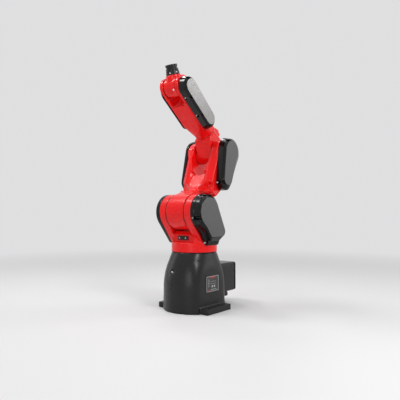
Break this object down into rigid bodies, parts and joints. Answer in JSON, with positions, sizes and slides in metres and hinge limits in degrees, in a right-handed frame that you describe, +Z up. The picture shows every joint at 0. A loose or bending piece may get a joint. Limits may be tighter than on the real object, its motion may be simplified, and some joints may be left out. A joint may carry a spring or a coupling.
{
  "type": "industrial robot arm",
  "caption": "Six-axis articulated robot arm with a bell-shaped base, forked turret, lower arm, roll forearm and tool flange.",
  "frame": {"origin": "on the floor, on the waist axis, at the underside of the base", "axes": "+Z up along the waist axis, -Y to the robot's front, +X to the side that carries the data plate"},
  "size_m": [0.24, 0.3644, 0.9055],
  "materials": {
    "dark_enamel": "satin, fine orange peel",
    "red_enamel": "semi-gloss",
    "dark_cover": "satin moulded plastic",
    "grey_panel": "fine texture",
    "pale_panel": "satin",
    "black_steel": "black oxide",
    "bright_steel": "zinc plated",
    "plate": "printed aluminium",
    "black_plastic": "matte",
    "brass": "nickel-plated",
    "seal": "matte"
  },
  "bodies": {
    "base": {"base_casting": "dark_enamel", "connector_box": "dark_enamel", "connector_step": "dark_enamel", "connector_panel": "dark_cover", "power_connector": "black_plastic", "signal_connector": "bright_steel", "air_ports": "brass", "data_plate": "plate", "front_plug": "black_steel"},
    "turret": {"turret_casting": "red_enamel", "turret_window": "black_plastic", "shoulder_cover_right": "dark_cover", "shoulder_panel": "grey_panel", "shoulder_cover_left": "dark_cover", "turret_rear_plate": "dark_cover"},
    "lower_arm": {"lower_arm_casting": "red_enamel", "elbow_cover_right": "dark_cover", "elbow_panel": "grey_panel", "elbow_cover_left": "dark_cover"},
    "elbow": {"elbow_housing": "red_enamel", "elbow_rear_cap": "dark_cover", "elbow_bracket": "red_enamel"},
    "forearm": {"forearm_casting": "red_enamel", "forearm_cover_right": "dark_cover", "forearm_panel": "pale_panel", "forearm_cover_left": "dark_cover"},
    "wrist": {"wrist_casting": "red_enamel", "wrist_collar": "black_steel"},
    "flange": {"tool_flange": "black_steel"}
  },
  "joints": [
    {"name": "waist", "type": "hinge", "parent": "base", "child": "turret", "pos_m": [0, 0, 0.216], "axis": [0, 0, 1], "range_deg": [-170, 170]},
    {"name": "shoulder", "type": "hinge", "parent": "turret", "child": "lower_arm", "pos_m": [0, -0.05, 0.365], "axis": [1, 0, 0], "range_deg": [-56.9, 158.1]},
    {"name": "elbow_bend", "type": "hinge", "parent": "lower_arm", "child": "elbow", "pos_m": [0, 0.09745, 0.59118], "axis": [-1, 0, 0], "range_deg": [-65.9, 144.1]},
    {"name": "forearm_roll", "type": "hinge", "parent": "elbow", "child": "forearm", "pos_m": [0, 0.06674, 0.68039], "axis": [0, -0.7771, 0.6293], "range_deg": [-185, 185]},
    {"name": "wrist_bend", "type": "hinge", "parent": "forearm", "child": "wrist", "pos_m": [0, -0.10889, 0.82261], "axis": [-1, 0, 0], "range_deg": [-153.1, 86.9]},
    {"name": "flange_spin", "type": "hinge", "parent": "wrist", "child": "flange", "pos_m": [0, -0.13348, 0.89874], "axis": [0, -0.3074, 0.9516], "continuous": true}
  ]
}
